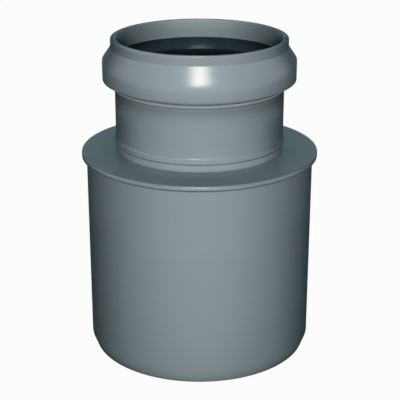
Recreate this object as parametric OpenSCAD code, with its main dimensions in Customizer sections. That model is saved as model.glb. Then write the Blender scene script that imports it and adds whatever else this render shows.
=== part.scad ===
// Reducing drain-pipe adapter. The upper end is a ring-seal socket for the smaller pipe, the lower end
// a plain spigot for the socket of the larger pipe, and a stop flange lies between them.
// Millimetres. The origin is the centre of the spigot's lower end, and +Z runs up the axis to the mouth.

/* [Spigot] */
// Outside diameter of the plain lower end
spigot_d = 110; // [100:1:125]
// Wall of the plain lower end
spigot_wall = 3; // [2.4:0.1:4.5]
// Length from the lower end up to the stop flange
spigot_length = 98.1; // [60:0.1:140]
// Height of the tapered lead-in at the lower end
lead_in_h = 5; // [2:0.5:12]
// How far the lead-in steps in from the outside
lead_in_depth = 1.9; // [0.5:0.1:2.1]

/* [Stop flange] */
// How far the flange stands out past the spigot
flange_step = 2.3; // [1.2:0.1:8]
// Thickness of the flange at its edge
flange_t = 2.1; // [1.6:0.1:6]
// Rounding of the flange's upper edge
flange_edge_r = 0.5; // [0.3:0.1:1]
// How far the flange's upper face rises from its edge in to the base
flange_rise = 0.8; // [0:0.1:2]
// Thickness of the deck that closes the spigot around the throat, up to the level of the flange's edge
deck_t = 3; // [2:0.1:8]
// Rounding inside, where the deck meets the spigot's wall
deck_fillet_r = 2; // [0.5:0.5:6]

/* [Pipe socket] */
// Outside diameter of the pipe that the socket takes
pipe_d = 75; // [63:1:80]
// Gap all round between the pipe and the socket's bore
pipe_gap = 0.35; // [0.3:0.05:0.6]
// Wall of the socket around the bore
socket_wall = 2.7; // [2:0.1:4]
// Length of the straight neck between the ridge and the bead
neck_h = 23.6; // [10:0.2:50]
// How far the throat's edge reaches in past the bore, which stops the pipe
stop_step = 1.85; // [1:0.05:4]

/* [Base, ridge and bead] */
// Height of the straight base between the flange and the ridge
base_h = 3.7; // [2:0.1:12]
// How far the ridge stands out past the base and the neck
ridge_step = 0.5; // [0.5:0.05:3]
// Height of the ridge
ridge_h = 2.95; // [1.6:0.05:6]
// Rounding of the ridge's upper edge
ridge_edge_r = 0.45; // [0.1:0.05:0.45]
// How far the bead under the seal housing stands out past the neck
bead_step = 0.8; // [0.5:0.05:1.5]
// Height of the bead
bead_h = 1.5; // [1:0.1:4]
// Rounding of the bead's lower edge
bead_edge_r = 0.4; // [0.1:0.05:0.45]

/* [Seal housing] */
// Depth of the seal groove, measured out from the bore
groove_depth = 5.75; // [4.5:0.05:9]
// Height of the seal groove
groove_h = 10.05; // [8.6:0.05:16]
// Rounding at the bottom of the groove
groove_edge_r = 0.8; // [0.2:0.1:1.5]
// Wall of the housing around the groove
housing_wall = 2.7; // [2:0.1:4]
// Height of the housing's flared underside
shoulder_h = 2.5; // [1:0.1:5]
// Material between the flared underside and the groove's floor at the outer wall
groove_floor_t = 1; // [0.8:0.1:3]
// How far the groove's roof lies above the housing's straight wall
groove_rise = 1.35; // [0.6:0.05:2]
// Height of the cone from the housing up to the collar
cone_h = 5.95; // [4:0.05:12]
// Rounding of the housing's lower edge
housing_edge_r = 0.8; // [0.3:0.1:2]
// Rounding of the housing's upper edge, where the cone starts
housing_crown_r = 2; // [1:0.5:6]

/* [Mouth] */
// Gap all round between the pipe and the mouth
mouth_gap = 2.15; // [1.5:0.05:3]
// Wall of the collar around the mouth
rim_wall = 2.6; // [1.8:0.05:4]
// Height of the collar
collar_h = 4.3; // [2:0.1:10]
// Rounding of the rim's outer edge
rim_edge_r = 0.7; // [0.1:0.05:0.8]
// Rounding of the rim's inner edge
mouth_edge_r = 0.25; // [0.1:0.05:0.6]

/* [Seal ring] */
// Gap between the seal and the groove, around the outside and at the roof
seal_gap = 0.05; // [0.02:0.01:0.2]
// Gap between the pipe and the lip, which has the shape that a pipe in place gives it
lip_gap = 0.15; // [0.13:0.01:0.3]
// Height of the lip's edge above the groove's floor
lip_h = 4.15; // [3.4:0.05:5]
// Angle between the axis and the lip's upper side near its edge
lip_rake = 38; // [30:1:50]
// Rounding of the curve that leads down into the lip
lip_curve_r = 9; // [2:0.5:9.5]
// Rounding of the lip's edge
lip_edge_r = 0.3; // [0.1:0.05:0.5]
// How far the lip's underside falls from its edge to its root
lip_drop = 0.6; // [0.2:0.1:1]
// Depth of the recess under the lip, measured out from the seal's upper face
recess_depth = 1.4; // [0.5:0.1:2]
// Height of the foot at the bottom of the seal
foot_h = 1.2; // [0.8:0.1:2]
// How far the foot's face stands back from the bore
foot_setback = 0.4; // [0.1:0.05:1.5]
// Rounding of the foot's upper edge
foot_edge_r = 0.5; // [0.1:0.05:0.7]

/* [Hidden] */
$fn = 60;
corner_fn = 20;

spigot_r = spigot_d / 2;
spigot_bore_r = spigot_r - spigot_wall;
flange_r = spigot_r + flange_step;

bore_r = pipe_d / 2 + pipe_gap;
throat_r = bore_r - stop_step;
neck_r = bore_r + socket_wall;
ridge_r = neck_r + ridge_step;
bead_r = neck_r + bead_step;
groove_r = bore_r + groove_depth;
housing_r = groove_r + housing_wall;
mouth_r = pipe_d / 2 + mouth_gap;
collar_r = mouth_r + rim_wall;

flange_top = spigot_length + flange_t;
deck_z = flange_top - deck_t;
base_z = flange_top + flange_rise;
ridge_z = base_z + base_h;
ridge_top = ridge_z + ridge_h;
bead_z = ridge_top + neck_h;
bead_top = bead_z + bead_h;
housing_z = bead_top + shoulder_h;
groove_z = housing_z + groove_floor_t;
groove_top = groove_z + groove_h;
housing_top = groove_top - groove_rise;
cone_top = housing_top + cone_h;
rim_z = cone_top + collar_h;

// Angle between the axis and the cone above the housing
cone_a = atan2(housing_r - collar_r, cone_h);

seal_r = groove_r - seal_gap;
seal_top = groove_top - seal_gap;
recess_r = mouth_r + recess_depth;
foot_r = bore_r + foot_setback;
foot_top = groove_z + foot_h;
lip_r = pipe_d / 2 + lip_gap;
lip_z = groove_z + lip_h;
lip_root_z = lip_z + (mouth_r - lip_r) / tan(lip_rake);
// The curve into the lip is no larger than the face above it has room for
lip_curve_room = (seal_top - lip_root_z) / tan(lip_rake / 2);

// The groove's sloping roof runs parallel to the cone, one housing wall inside it. Gap moves it further in.
function roof_r(z, gap = 0) =
    housing_r - (housing_wall + gap) / cos(cone_a) - (z - housing_top) * tan(cone_a);
function roof_z(r, gap = 0) =
    housing_top + (housing_r - (housing_wall + gap) / cos(cone_a) - r) / tan(cone_a);

function toward(a, b) = (b - a) / norm(b - a);
function half_angle(a, p, b) = acos(toward(p, a) * toward(p, b)) / 2;
function tangent_length(a, p, b, r) = r / tan(half_angle(a, p, b));
function arc_centre(a, p, b, r) =
    p + toward([0, 0], toward(p, a) + toward(p, b)) * r / sin(half_angle(a, p, b));
function turns_left(a, p, b) = cross(p - a, b - p) > 0;

// A closed outline, counter-clockwise, whose corners are each [r, z] or [r, z, rounding]
module outline(corners) {
    n = len(corners);
    at = [for (c = corners) [c[0], c[1]]];
    rounding = [for (c = corners) len(c) > 2 ? c[2] : 0];
    before = [for (i = [0:n - 1]) at[(i + n - 1) % n]];
    after = [for (i = [0:n - 1]) at[(i + 1) % n]];
    cut = [for (i = [0:n - 1]) rounding[i] > 0 ? tangent_length(before[i], at[i], after[i], rounding[i]) : 0];
    round_corners = [for (i = [0:n - 1]) if (rounding[i] > 0) i];

    difference() {
        union() {
            polygon([for (i = [0:n - 1]) each cut[i] > 0
                ? [at[i] + toward(at[i], before[i]) * cut[i], at[i] + toward(at[i], after[i]) * cut[i]]
                : [at[i]]]);
            for (i = round_corners)
                if (turns_left(before[i], at[i], after[i]))
                    translate(arc_centre(before[i], at[i], after[i], rounding[i]))
                        circle(r = rounding[i], $fn = corner_fn);
        }
        for (i = round_corners)
            if (!turns_left(before[i], at[i], after[i]))
                translate(arc_centre(before[i], at[i], after[i], rounding[i]))
                    circle(r = rounding[i], $fn = corner_fn);
    }
}

// Outer form from the spigot's lead-in up to the flange
module spigot_form() {
    outline([
        [0, 0],
        [spigot_r - lead_in_depth, 0],
        [spigot_r, lead_in_h],
        [spigot_r, spigot_length],
        [flange_r, spigot_length],
        [flange_r, flange_top, flange_edge_r],
        [neck_r, base_z],
        [0, base_z]
    ]);
}

// Outer form from the base up to the bead
module neck_form() {
    outline([
        [0, base_z],
        [neck_r, base_z],
        [neck_r, ridge_z],
        [ridge_r, ridge_z, ridge_edge_r / 2],
        [ridge_r, ridge_top, ridge_edge_r],
        [neck_r, ridge_top],
        [neck_r, bead_z],
        [bead_r, bead_z, bead_edge_r],
        [bead_r, bead_top],
        [0, bead_top]
    ]);
}

// Outer form from the seal housing's underside up to the rim
module housing_form() {
    outline([
        [0, bead_top],
        [bead_r, bead_top],
        [housing_r, housing_z, housing_edge_r],
        [housing_r, housing_top, housing_crown_r],
        [collar_r, cone_top],
        [collar_r, rim_z, rim_edge_r],
        [mouth_r, rim_z, mouth_edge_r],
        [mouth_r, cone_top],
        [0, cone_top]
    ]);
}

// Hollow of the spigot and the throat through the deck
module spigot_hollow() {
    outline([
        [0, 0],
        [spigot_bore_r, 0],
        [spigot_bore_r, deck_z, deck_fillet_r],
        [throat_r, deck_z],
        [throat_r, ridge_z],
        [0, ridge_z]
    ]);
}

// Hollow of the socket, with the groove that holds the seal
module socket_hollow() {
    outline([
        [0, ridge_z],
        [bore_r, ridge_z],
        [bore_r, groove_z],
        [groove_r, groove_z, groove_edge_r],
        [groove_r, roof_z(groove_r)],
        [roof_r(groove_top), groove_top],
        [mouth_r, groove_top],
        [mouth_r, cone_top],
        [0, cone_top]
    ]);
}

module adapter_body() {
    color("slategray")
        rotate_extrude()
            difference() {
                union() {
                    spigot_form();
                    neck_form();
                    housing_form();
                }
                spigot_hollow();
                socket_hollow();
            }
}

// The seal fills the groove from the wall inwards, with its lip above a recess and a foot
module seal_ring() {
    color("dimgray")
        rotate_extrude()
            outline([
                [foot_r, groove_z],
                [seal_r, groove_z, groove_edge_r],
                [seal_r, roof_z(seal_r, seal_gap)],
                [roof_r(seal_top, seal_gap), seal_top],
                [mouth_r, seal_top],
                [mouth_r, lip_root_z, min(lip_curve_r, lip_curve_room)],
                [lip_r, lip_z, lip_edge_r],
                [recess_r, lip_z - lip_drop],
                [recess_r, foot_top],
                [foot_r, foot_top, foot_edge_r]
            ]);
}

adapter_body();
seal_ring();
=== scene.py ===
"""Looks of the pipe adapter: plastics, floor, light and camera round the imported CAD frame.

Metres, in the frame of the CAD part: the origin is the centre of the spigot's lower end, and +Z runs up the
axis. The camera and the light stand in front of the object, at -Y.
"""

import math

import bpy
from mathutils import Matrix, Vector

# Camera, solved from the photograph's outline, with its lens and sensor in millimetres
CAMERA_BACK = 0.52875
CAMERA_HEIGHT = 0.27042
CAMERA_PITCH = math.radians(20.510)
CAMERA_LENS = 102.09
CAMERA_SENSOR = 36
CAMERA_SHIFT_X = 0.00125

# Noise textures: the range of their values in use, each one's cycles per metre and detail, and the scale of
# the clouds along the axes
NOISE_RANGE = (0.3, 0.7)
FLOW_CLOUDS = (30, 3)
FLOW_STRETCH = (1, 1, 0.4)
PLASTIC_GRAIN = (900, 2)
ORANGE_PEEL = (450, 2)
RUBBER_BLOOM = (120, 4)
RUBBER_GRAIN = (1200, 2)
PAPER_MOTTLE = (8, 2)

# Plastic: linear colour, the share by which the clouds tint it, roughness from and to, and the peel's depth
PLASTIC_COLOR = (0.250, 0.290, 0.302)
PLASTIC_TINT = 0.015
PLASTIC_ROUGHNESS = (0.25, 0.27)
PLASTIC_IOR = 1.5
PEEL_DEPTH = 0.000002

# Rubber, in the same terms, with the depth of its grain
RUBBER_COLOR = (0.0165, 0.0305, 0.0345)
RUBBER_TINT = 0.08
RUBBER_ROUGHNESS = (0.26, 0.30)
RUBBER_SPECULAR = 0.09
RUBBER_GRAIN_DEPTH = 0.0000012

# Floor: its colour to the camera, its grey to other rays, the share of real light that the camera sees, and
# half its width
FLOOR_COLOR = (0.86, 0.86, 0.86)
FLOOR_TINT = 0.003
FLOOR_BOUNCE = 0.02
FLOOR_LIT_SHARE = 0.035
FLOOR_ROUGHNESS = 0.9
FLOOR_SPECULAR = 0.1
FLOOR_HALF = 3.0

# World, in linear colours, by parts of the way looked along, where Y is towards the back and Z is up. Each
# pair says where something starts and where it is full. Light comes from the fill on all sides, and from a
# pale back light low behind the object
WORLD_FILL = (0.002, 0.082, 0.106)
BACK_FILL = (6.8, 7.2, 7.25)
BACK_EDGE = (0.80, 0.98)
BACK_TOP = (0.42, 0.10)
# What shiny faces mirror of the room: a pale dome that rises from dark walls and fades to the back, and a dim
# card straight behind
DOME_SHEEN = 1.50
DOME_RISE = (math.sin(math.radians(6)), math.sin(math.radians(24)))
DOME_FADE = (0.92, 0.20)
CARD_SHEEN = (0.05, 0.14, 0.17)
CARD_EDGE = (0.85, 0.92)
CAMERA_WHITE = (1, 1, 1)

# Key lamp: long, upright and low, with its elevation and spread in degrees
KEY_TARGET = Vector((0, 0, 0.134))
KEY_ELEVATION = 10.5
KEY_DISTANCE = 0.9
KEY_SIZE = (0.04, 0.36)
KEY_POWER = 0.134
KEY_SPREAD = 13.5

# Panel whose mirror image is the highlight on the socket's cone
SHINE_TARGET = Vector((0, -0.044, 0.148))
SHINE_ELEVATION = 53
SHINE_DISTANCE = 0.9
SHINE_SIZE = (0.24, 0.19)
SHINE_COLOR = (1, 0.90, 0.84, 1)
SHINE_STRENGTH = 33.5

# Graded scrims close to the front of the object, which no camera, diffuse or glossy ray sees. Each takes a
# share of the key light, its density, between two heights. By the distance from the middle, it grows over one
# range and thins out from there until it ends. Those that are dense in the middle have their range below zero
SCRIM_Y = -0.0625
SCRIMS = {
    "flange": {"heights": (0.1008, 0.1045), "grows": (-0.020, -0.010), "ends": 0.050, "density": 0.50},
    "neck": {"heights": (0.109, 0.1285), "grows": (0.025, 0.043), "ends": 0.048, "density": 0.68},
    "spigot": {"heights": (0.012, 0.080), "grows": (0.030, 0.056), "ends": 0.062, "density": 0.23},
    "foot": {"heights": (0.006, 0.066), "grows": (-0.020, -0.010), "ends": 0.080, "density": 0.052},
    "collar": {"heights": (0.153, 0.166), "grows": (0.028, 0.043), "ends": 0.048, "density": 0.45},
    "mouth": {"heights": (0.166, 0.260), "grows": (0.004, 0.042), "ends": 0.048, "density": 0.78},
}

# Soft shading: the elevation in degrees that the normal takes at each height of a band, and the band's radii
SOFT_BY_HEIGHT = {
    "rim": (
        [(0.1545, 10), (0.1548, 22), (0.1551, 36), (0.1552, 37)],
        (0.0413, 0.0423),
    ),
    "mouth": (
        [(0.1463, -18), (0.1475, -23), (0.1500, -24), (0.1520, -11), (0.1535, 2), (0.1549, 20)],
        (0.0390, 0.0399),
    ),
    "housing": (
        [(0.1353, -9), (0.1370, 2), (0.1413, 22), (0.1433, 31), (0.1455, 34.2)],
        (0.0453, 0.0470),
    ),
    "flare": (
        [(0.13275, -88), (0.1333, -84), (0.1338, -40), (0.1341, -12), (0.1353, -8)],
        (0.0412, 0.0470),
    ),
    "bead": (
        [(0.1312, -50), (0.1315, -20), (0.1318, 12), (0.1321, 27), (0.1324, 5), (0.1328, -60)],
        (0.0409, 0.0415),
    ),
    "neck": (
        [
            (0.1205, 0), (0.1240, -9), (0.1265, -21), (0.1290, -35),
            (0.1303, -31), (0.1308, -44), (0.13125, -54),
        ],
        (0.0400, 0.0408),
    ),
    "ridge top": (
        [(0.1068, 0), (0.1071, 20), (0.1074, 35), (0.1077, 36.5)],
        (0.0403, 0.0412),
    ),
    "ridge foot": (
        [(0.1047, -66), (0.1049, -50), (0.1051, 0)],
        (0.0403, 0.0412),
    ),
    "base top": (
        [(0.1041, 0), (0.1044, -50), (0.1047, -68)],
        (0.0403, 0.0408),
    ),
    "base foot": (
        [(0.1010, -46), (0.1014, -22), (0.1019, 0)],
        (0.0403, 0.0408),
    ),
    "flange top": (
        [(0.0989, 0), (0.0993, 26), (0.0997, 37), (0.1000, 46), (0.1002, 65)],
        (0.05705, 0.0574),
    ),
    "flange foot": (
        [(0.0981, -70), (0.0982, -50), (0.0984, 0)],
        (0.0566, 0.0574),
    ),
    "body top": (
        [(0.0967, 0), (0.0970, -55), (0.0974, -75)],
        (0.0545, 0.0552),
    ),
    "lead-in": (
        [(0.0000, -42), (0.0018, -28), (0.0040, -18), (0.0065, -6), (0.0090, 0)],
        (0.0520, 0.0552),
    ),
}
# The same by radius, for a flat face, and the band's heights
SOFT_BY_RADIUS = {
    "rim face": (
        [(0.0399, 72), (0.0404, 54), (0.0409, 41), (0.0416, 37)],
        (0.1551, 0.1553),
    ),
}


def feed(tree, value, socket):
    """A value into a socket: linked where it comes from another socket, else written in."""
    if isinstance(value, bpy.types.NodeSocket):
        tree.links.new(value, socket)
    else:
        socket.default_value = value


def math_node(tree, operation, *values):
    node = tree.nodes.new("ShaderNodeMath")
    node.operation = operation
    for value, socket in zip(values, node.inputs):
        feed(tree, value, socket)
    return node.outputs["Value"]


def vector_node(tree, operation, *values, result="Vector"):
    node = tree.nodes.new("ShaderNodeVectorMath")
    node.operation = operation
    for value, socket in zip(values, node.inputs):
        feed(tree, value, socket)
    return node.outputs[result]


def split(tree, vector):
    """The node whose outputs X, Y and Z are the parts of a vector."""
    node = tree.nodes.new("ShaderNodeSeparateXYZ")
    tree.links.new(vector, node.inputs["Vector"])
    return node


def color_of(tree, *channels):
    """The colour with the given red, green and blue, which are sockets."""
    node = tree.nodes.new("ShaderNodeCombineColor")
    for channel, name in zip(channels, ("Red", "Green", "Blue")):
        tree.links.new(channel, node.inputs[name])
    return node.outputs["Color"]


def map_range(tree, value, source, target=(0, 1), interpolation="LINEAR"):
    """The value, taken from the source range to the target range and held at its ends."""
    node = tree.nodes.new("ShaderNodeMapRange")
    node.interpolation_type = interpolation
    node.inputs["From Min"].default_value, node.inputs["From Max"].default_value = source
    node.inputs["To Min"].default_value, node.inputs["To Max"].default_value = target
    tree.links.new(value, node.inputs["Value"])
    return node.outputs["Result"]


def ramp(tree, value, start, full):
    """From 0 where the value is at start to 1 where it is full, rounded at both ends."""
    return map_range(tree, value, (start, full), interpolation="SMOOTHSTEP")


def mix(tree, kind, factor, low, high):
    """From low to high by the factor. The kind of both is RGBA or VECTOR."""
    node = tree.nodes.new("ShaderNodeMix")
    node.data_type = kind
    tree.links.new(factor, node.inputs["Factor"])
    ends = [socket for socket in node.inputs if socket.type == kind and socket.name in ("A", "B")]
    for value, socket in zip((low, high), ends):
        feed(tree, value, socket)
    return next(socket for socket in node.outputs if socket.type == kind)


def mix_color(tree, factor, low, high):
    """From one colour to the other, each a plain colour or a socket."""
    colors = [color if isinstance(color, bpy.types.NodeSocket) else (*color, 1) for color in (low, high)]
    return mix(tree, "RGBA", factor, *colors)


def noise(tree, coords, texture, stretch=(1, 1, 1)):
    """A noise in object space, of a texture given by its cycles per metre and its detail."""
    mapping = tree.nodes.new("ShaderNodeMapping")
    mapping.inputs["Scale"].default_value = stretch
    tree.links.new(coords.outputs["Object"], mapping.inputs["Vector"])
    tex = tree.nodes.new("ShaderNodeTexNoise")
    tex.inputs["Scale"].default_value, tex.inputs["Detail"].default_value = texture
    tree.links.new(mapping.outputs["Vector"], tex.inputs["Vector"])
    return tex.outputs["Fac"]


def tint(tree, value, color, spread):
    """The colour, made a little darker and lighter by the value."""
    node = tree.nodes.new("ShaderNodeValToRGB")
    for stop, position, change in zip(node.color_ramp.elements, NOISE_RANGE, (1 - spread, 1 + spread)):
        stop.position = position
        stop.color = tuple(c * change for c in color) + (1,)
    tree.links.new(value, node.inputs["Fac"])
    return node.outputs["Color"]


def bump(tree, value, depth, normal=None):
    node = tree.nodes.new("ShaderNodeBump")
    if normal:
        tree.links.new(normal, node.inputs["Normal"])
    node.inputs["Strength"].default_value = 1.0
    node.inputs["Distance"].default_value = depth
    tree.links.new(value, node.inputs["Height"])
    return node.outputs["Normal"]


def within(tree, value, low, high):
    """1 where the value lies between low and high, else 0."""
    return math_node(tree, "COMPARE", value, (low + high) / 2, (high - low) / 2)


def elevation_curve(tree, place, points):
    """The elevation in radians at a place, on a smooth curve through the points, which are in degrees.

    The node's curve holds elevations as 0 for straight down to 1 for straight up.
    """
    low, high = points[0][0], points[-1][0]
    node = tree.nodes.new("ShaderNodeFloatCurve")
    curve = node.mapping.curves[0]
    spots = [((at - low) / (high - low), 0.5 + angle / 180) for at, angle in points]
    curve.points[0].location, curve.points[1].location = spots[0], spots[-1]
    for x, y in spots[1:-1]:
        curve.points.new(x, y)
    node.mapping.update()
    tree.links.new(map_range(tree, place, (low, high)), node.inputs["Value"])
    return math_node(tree, "MULTIPLY_ADD", node.outputs["Value"], math.pi, -math.pi / 2)


def soften(tree, normal, level, place, points, other, limits):
    """The normal, turned up or down from level to the elevation that the points give for a place.

    It is turned between the first and the last point, where the other coordinate is within its limits too.
    """
    rise = tree.nodes.new("ShaderNodeCombineXYZ")
    tree.links.new(math_node(tree, "TANGENT", elevation_curve(tree, place, points)), rise.inputs["Z"])
    turned = vector_node(tree, "NORMALIZE", vector_node(tree, "ADD", level, rise.outputs["Vector"]))
    along = within(tree, place, points[0][0], points[-1][0])
    inside = math_node(tree, "MULTIPLY", along, within(tree, other, *limits))
    return mix(tree, "VECTOR", inside, normal, turned)


def soft_normal(tree, coords):
    """The surface's normal with every soft band worked in."""
    normal = tree.nodes.new("ShaderNodeNewGeometry").outputs["Normal"]
    sideways = vector_node(tree, "NORMALIZE", vector_node(tree, "MULTIPLY", normal, (1, 1, 0)))
    flat = vector_node(tree, "MULTIPLY", coords.outputs["Object"], (1, 1, 0))
    outward = vector_node(tree, "NORMALIZE", flat)
    radius = vector_node(tree, "LENGTH", flat, result="Value")
    height = split(tree, coords.outputs["Object"]).outputs["Z"]
    for points, radii in SOFT_BY_HEIGHT.values():
        normal = soften(tree, normal, sideways, height, points, radius, radii)
    for points, heights in SOFT_BY_RADIUS.values():
        normal = soften(tree, normal, outward, radius, points, height, heights)
    return normal


def blank_material(name):
    """A material with its output alone, its node tree, and the socket that takes its surface."""
    mat = bpy.data.materials.new(name)
    mat.use_nodes = True
    tree = mat.node_tree
    tree.nodes.clear()
    out = tree.nodes.new("ShaderNodeOutputMaterial")
    return mat, tree, out.inputs["Surface"]


def moulded_plastic():
    """Blue-grey moulded plastic with faint flow clouds, a fine orange peel and softly shaded edges."""
    mat, tree, surface = blank_material("body_plastic")
    bsdf = tree.nodes.new("ShaderNodeBsdfPrincipled")
    coords = tree.nodes.new("ShaderNodeTexCoord")
    clouds = noise(tree, coords, FLOW_CLOUDS, FLOW_STRETCH)
    grain = noise(tree, coords, PLASTIC_GRAIN)
    peel = noise(tree, coords, ORANGE_PEEL)
    tree.links.new(tint(tree, clouds, PLASTIC_COLOR, PLASTIC_TINT), bsdf.inputs["Base Color"])
    tree.links.new(map_range(tree, grain, NOISE_RANGE, PLASTIC_ROUGHNESS), bsdf.inputs["Roughness"])
    tree.links.new(bump(tree, peel, PEEL_DEPTH, soft_normal(tree, coords)), bsdf.inputs["Normal"])
    bsdf.inputs["IOR"].default_value = PLASTIC_IOR
    tree.links.new(bsdf.outputs["BSDF"], surface)
    return mat


def seal_rubber():
    """Near-black rubber, a little uneven in sheen, with a fine bloom."""
    mat, tree, surface = blank_material("seal_rubber")
    bsdf = tree.nodes.new("ShaderNodeBsdfPrincipled")
    coords = tree.nodes.new("ShaderNodeTexCoord")
    bloom = noise(tree, coords, RUBBER_BLOOM)
    grain = noise(tree, coords, RUBBER_GRAIN)
    tree.links.new(tint(tree, bloom, RUBBER_COLOR, RUBBER_TINT), bsdf.inputs["Base Color"])
    tree.links.new(map_range(tree, grain, NOISE_RANGE, RUBBER_ROUGHNESS), bsdf.inputs["Roughness"])
    tree.links.new(bump(tree, grain, RUBBER_GRAIN_DEPTH), bsdf.inputs["Normal"])
    bsdf.inputs["Specular IOR Level"].default_value = RUBBER_SPECULAR
    tree.links.new(bsdf.outputs["BSDF"], surface)
    return mat


def floor_paper():
    """White studio paper, which to the camera is mostly plain white with a little real light and shadow."""
    mat, tree, surface = blank_material("floor_paper")
    coords = tree.nodes.new("ShaderNodeTexCoord")
    to_camera = tree.nodes.new("ShaderNodeLightPath").outputs["Is Camera Ray"]
    mottled = tint(tree, noise(tree, coords, PAPER_MOTTLE), FLOOR_COLOR, FLOOR_TINT)
    bsdf = tree.nodes.new("ShaderNodeBsdfPrincipled")
    tree.links.new(mix_color(tree, to_camera, [FLOOR_BOUNCE] * 3, mottled), bsdf.inputs["Base Color"])
    bsdf.inputs["Roughness"].default_value = FLOOR_ROUGHNESS
    bsdf.inputs["Specular IOR Level"].default_value = FLOOR_SPECULAR
    white = tree.nodes.new("ShaderNodeEmission")
    blend = tree.nodes.new("ShaderNodeMixShader")
    tree.links.new(math_node(tree, "MULTIPLY", to_camera, 1 - FLOOR_LIT_SHARE), blend.inputs["Fac"])
    tree.links.new(bsdf.outputs["BSDF"], blend.inputs[1])
    tree.links.new(white.outputs["Emission"], blend.inputs[2])
    tree.links.new(blend.outputs["Shader"], surface)
    return mat


def scrim_gauze(name, grows, ends, density):
    """Gauze that lets light pass straight on, less of it where it is dense."""
    mat, tree, surface = blank_material(name)
    start, full = grows
    place = tree.nodes.new("ShaderNodeTexCoord").outputs["Object"]
    side = math_node(tree, "ABSOLUTE", split(tree, place).outputs["X"])
    gauze = math_node(tree, "MULTIPLY", ramp(tree, side, start, full), ramp(tree, side, ends, full))
    passed = math_node(tree, "MULTIPLY_ADD", gauze, -density, 1.0)
    clear = tree.nodes.new("ShaderNodeBsdfTransparent")
    tree.links.new(color_of(tree, passed, passed, passed), clear.inputs["Color"])
    tree.links.new(clear.outputs["BSDF"], surface)
    return mat


def shine_glow():
    """The panel's glow, which isn't sampled as a lamp."""
    mat, tree, surface = blank_material("shine")
    glow = tree.nodes.new("ShaderNodeEmission")
    glow.inputs["Color"].default_value = SHINE_COLOR
    glow.inputs["Strength"].default_value = SHINE_STRENGTH
    tree.links.new(glow.outputs["Emission"], surface)
    mat.cycles.emission_sampling = "NONE"
    return mat


def paint(node, mat):
    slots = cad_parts[node].data.materials
    slots.clear()
    slots.append(mat)


def flat_corners(half_x, half_y):
    return [(-half_x, -half_y, 0), (half_x, -half_y, 0), (half_x, half_y, 0), (-half_x, half_y, 0)]


def new_sheet(name, corners, mat):
    """A sheet with four corners, put in the scene."""
    mesh = bpy.data.meshes.new(name)
    mesh.from_pydata(corners, [], [(0, 1, 2, 3)])
    mesh.materials.append(mat)
    sheet = bpy.data.objects.new(name, mesh)
    bpy.context.scene.collection.objects.link(sheet)
    return sheet


def stand_in_front(obj, target, elevation, distance):
    """Put the object in front of and above a target, facing it."""
    rise = math.radians(elevation)
    away = distance * Vector((0, -math.cos(rise), math.sin(rise)))
    obj.location = target + away
    obj.rotation_euler = (-away).to_track_quat("-Z", "Y").to_euler()


def build_floor():
    floor = new_sheet("floor", flat_corners(FLOOR_HALF, FLOOR_HALF), floor_paper())


def build_key():
    """The one lamp, which shiny faces don't mirror."""
    data = bpy.data.lights.new("key", "AREA")
    data.shape = "RECTANGLE"
    data.size, data.size_y = KEY_SIZE
    data.energy = KEY_POWER
    data.spread = math.radians(KEY_SPREAD)
    key = bpy.data.objects.new("key", data)
    bpy.context.scene.collection.objects.link(key)
    stand_in_front(key, KEY_TARGET, KEY_ELEVATION, KEY_DISTANCE)
    key.visible_glossy = False


def build_shine():
    """A glowing panel that only shiny faces see, as the highlight in them."""
    width, height = SHINE_SIZE
    panel = new_sheet("shine", flat_corners(width / 2, height / 2), shine_glow())
    stand_in_front(panel, SHINE_TARGET, SHINE_ELEVATION, SHINE_DISTANCE)
    panel.visible_camera = False
    panel.visible_diffuse = False
    panel.visible_shadow = False


def build_scrims():
    """Graded scrims that take some of the key light off the sides, the flange and the lower spigot."""
    for part, sizes in SCRIMS.items():
        name = "scrim_" + part
        low, high = sizes["heights"]
        end = sizes["ends"]
        corners = [(-end, SCRIM_Y, low), (end, SCRIM_Y, low), (end, SCRIM_Y, high), (-end, SCRIM_Y, high)]
        scrim = new_sheet(name, corners, scrim_gauze(name, sizes["grows"], end, sizes["density"]))
        scrim.visible_camera = False
        scrim.visible_diffuse = False
        scrim.visible_glossy = False


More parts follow.
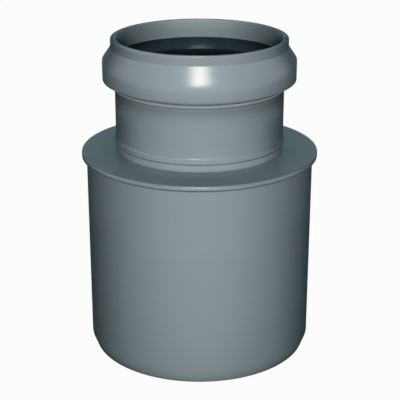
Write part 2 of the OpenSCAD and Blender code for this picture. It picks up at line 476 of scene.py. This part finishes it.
def room_sheen(tree, way):
    """What shiny faces see along a way: the dome and the card."""
    rises = ramp(tree, way.outputs["Z"], *DOME_RISE)
    dome = math_node(tree, "MULTIPLY", rises, ramp(tree, way.outputs["Y"], *DOME_FADE))
    card = ramp(tree, way.outputs["Y"], *CARD_EDGE)
    channels = []
    for card_sheen in CARD_SHEEN:
        card_part = math_node(tree, "MULTIPLY", card, card_sheen)
        channels.append(math_node(tree, "MULTIPLY_ADD", dome, DOME_SHEEN, card_part))
    return color_of(tree, *channels)


def room_fill(tree, way):
    """What other faces get along a way: the fill, and the back light low behind."""
    low = ramp(tree, way.outputs["Z"], *BACK_TOP)
    behind = math_node(tree, "MULTIPLY", ramp(tree, way.outputs["Y"], *BACK_EDGE), low)
    return mix_color(tree, behind, WORLD_FILL, BACK_FILL)


def build_world():
    """A room that fills the shade, shows shiny faces a dome and a card, and gives the camera plain white."""
    world = bpy.data.worlds.new("studio")
    world.use_nodes = True
    tree = world.node_tree
    background = tree.nodes["Background"]
    background.inputs["Strength"].default_value = 1.0
    way = split(tree, tree.nodes.new("ShaderNodeTexCoord").outputs["Generated"])
    path = tree.nodes.new("ShaderNodeLightPath")
    room = mix_color(tree, path.outputs["Is Glossy Ray"], room_fill(tree, way), room_sheen(tree, way))
    shown = mix_color(tree, path.outputs["Is Camera Ray"], room, CAMERA_WHITE)
    tree.links.new(shown, background.inputs["Color"])
    bpy.context.scene.world = world


def build_camera():
    data = bpy.data.cameras.new("camera")
    data.lens = CAMERA_LENS
    data.sensor_width = CAMERA_SENSOR
    data.shift_x = CAMERA_SHIFT_X
    camera = bpy.data.objects.new("camera", data)
    camera.location = (0, -CAMERA_BACK, CAMERA_HEIGHT)
    camera.rotation_euler = (math.pi / 2 - CAMERA_PITCH, 0, 0)
    bpy.context.scene.collection.objects.link(camera)
    bpy.context.scene.camera = camera


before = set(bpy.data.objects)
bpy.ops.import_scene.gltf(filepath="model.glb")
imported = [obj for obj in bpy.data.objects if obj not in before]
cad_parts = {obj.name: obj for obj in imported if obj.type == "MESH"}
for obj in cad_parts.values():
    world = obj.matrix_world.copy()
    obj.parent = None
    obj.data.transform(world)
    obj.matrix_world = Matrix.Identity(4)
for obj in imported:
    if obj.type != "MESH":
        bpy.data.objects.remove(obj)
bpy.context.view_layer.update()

paint("adapter_body", moulded_plastic())
paint("seal_ring", seal_rubber())
build_floor()
build_key()
build_shine()
build_scrims()
build_world()
build_camera()
bpy.context.scene.view_settings.view_transform = "Standard"
